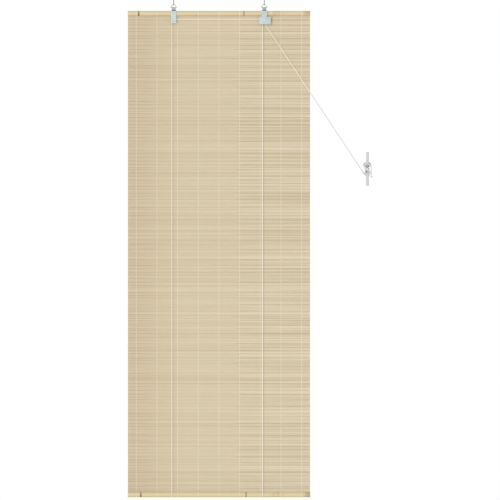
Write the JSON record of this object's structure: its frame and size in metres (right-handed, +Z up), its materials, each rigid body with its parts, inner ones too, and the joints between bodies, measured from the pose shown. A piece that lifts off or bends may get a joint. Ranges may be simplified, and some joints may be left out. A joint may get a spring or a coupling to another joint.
{
  "type": "bamboo roll up blind",
  "caption": "Reed mat blind with split bamboo rails, hung from ceiling hooks, with pulleys, lift cords, a cord lock and a wall cleat for the pull cord.",
  "frame": {"origin": "ceiling plane, midway between the screws of the two hooks", "axes": "+X to the right along the rails as seen from the room, +Y to the wall, +Z up"},
  "size_m": [0.8031, 0.0286, 1.6698],
  "materials": {
    "reed": "matt natural reed",
    "thread": "cotton thread",
    "bamboo": "natural bamboo skin",
    "plated_steel": "bright zinc plate",
    "steel_wire": "zinc plated wire",
    "moulding": "white moulded plastic",
    "cord": "braided cord",
    "cleat": "light grey satin"
  },
  "bodies": {
    "fixings": {"left_hook": "steel_wire", "right_hook": "steel_wire", "left_ring": "steel_wire", "right_ring": "steel_wire", "cord_cleat": "cleat", "pull_cord": "cord"},
    "blind": {"reed_mat": "reed", "warp_threads": "thread", "head_slat_front": "bamboo", "head_slat_rear": "bamboo", "left_bracket": "plated_steel", "left_rail_rivet": "plated_steel", "left_axle": "plated_steel", "lock_cover": "plated_steel", "lock_core": "moulding", "right_rail_rivet": "plated_steel", "lock_axle": "plated_steel", "guide_bush": "moulding", "left_rear_cord": "cord", "left_front_cord": "cord", "cross_cord": "cord", "right_rear_cord": "cord", "right_front_cord": "cord", "right_over_cord": "cord", "cord_joiner": "moulding"},
    "bottom_rail": {"bottom_slat_front": "bamboo", "bottom_slat_rear": "bamboo", "left_bight_cord": "cord", "right_bight_cord": "cord"},
    "left_wheel": {"left_pulley": "moulding"},
    "rear_lock_wheel": {"rear_lock_pulley": "moulding"},
    "front_lock_wheel": {"front_lock_pulley": "moulding"},
    "roller": {"lock_roller": "plated_steel"}
  },
  "joints": [
    {"name": "blind_swing", "type": "hinge", "parent": "fixings", "child": "blind", "pos_m": [0, 0.004, -0.0366], "axis": [1, 0, 0], "range_deg": [-10, 10], "deforming": ["pull_cord"]},
    {"name": "bottom_lift", "type": "slide", "parent": "blind", "child": "bottom_rail", "axis": [0, 0, 1], "range_m": [0, 1.44], "deforming": ["reed_mat", "warp_threads", "left_front_cord", "right_front_cord", "left_rear_cord", "right_rear_cord"]},
    {"name": "left_pulley_spin", "type": "hinge", "parent": "blind", "child": "left_wheel", "pos_m": [-0.149, -0.0011, -0.0806], "axis": [0, 1, 0], "range_deg": [0, 30100]},
    {"name": "rear_lock_pulley_spin", "type": "hinge", "parent": "blind", "child": "rear_lock_wheel", "pos_m": [0.149, -0.0011, -0.0806], "axis": [0, 1, 0], "range_deg": [0, 30100]},
    {"name": "front_lock_pulley_spin", "type": "hinge", "parent": "blind", "child": "front_lock_wheel", "pos_m": [0.149, -0.0049, -0.0806], "axis": [0, 1, 0], "range_deg": [0, 30100]},
    {"name": "lock_roller_slide", "type": "slide", "parent": "blind", "child": "roller", "axis": [0.5, 0, 0.866], "range_m": [0, 0.004]}
  ],
  "couplings": [
    {"joint": "left_pulley_spin", "follows": "bottom_lift", "rad_per_m": 363.64},
    {"joint": "rear_lock_pulley_spin", "follows": "bottom_lift", "rad_per_m": 363.64},
    {"joint": "front_lock_pulley_spin", "follows": "bottom_lift", "rad_per_m": 363.64}
  ]
}
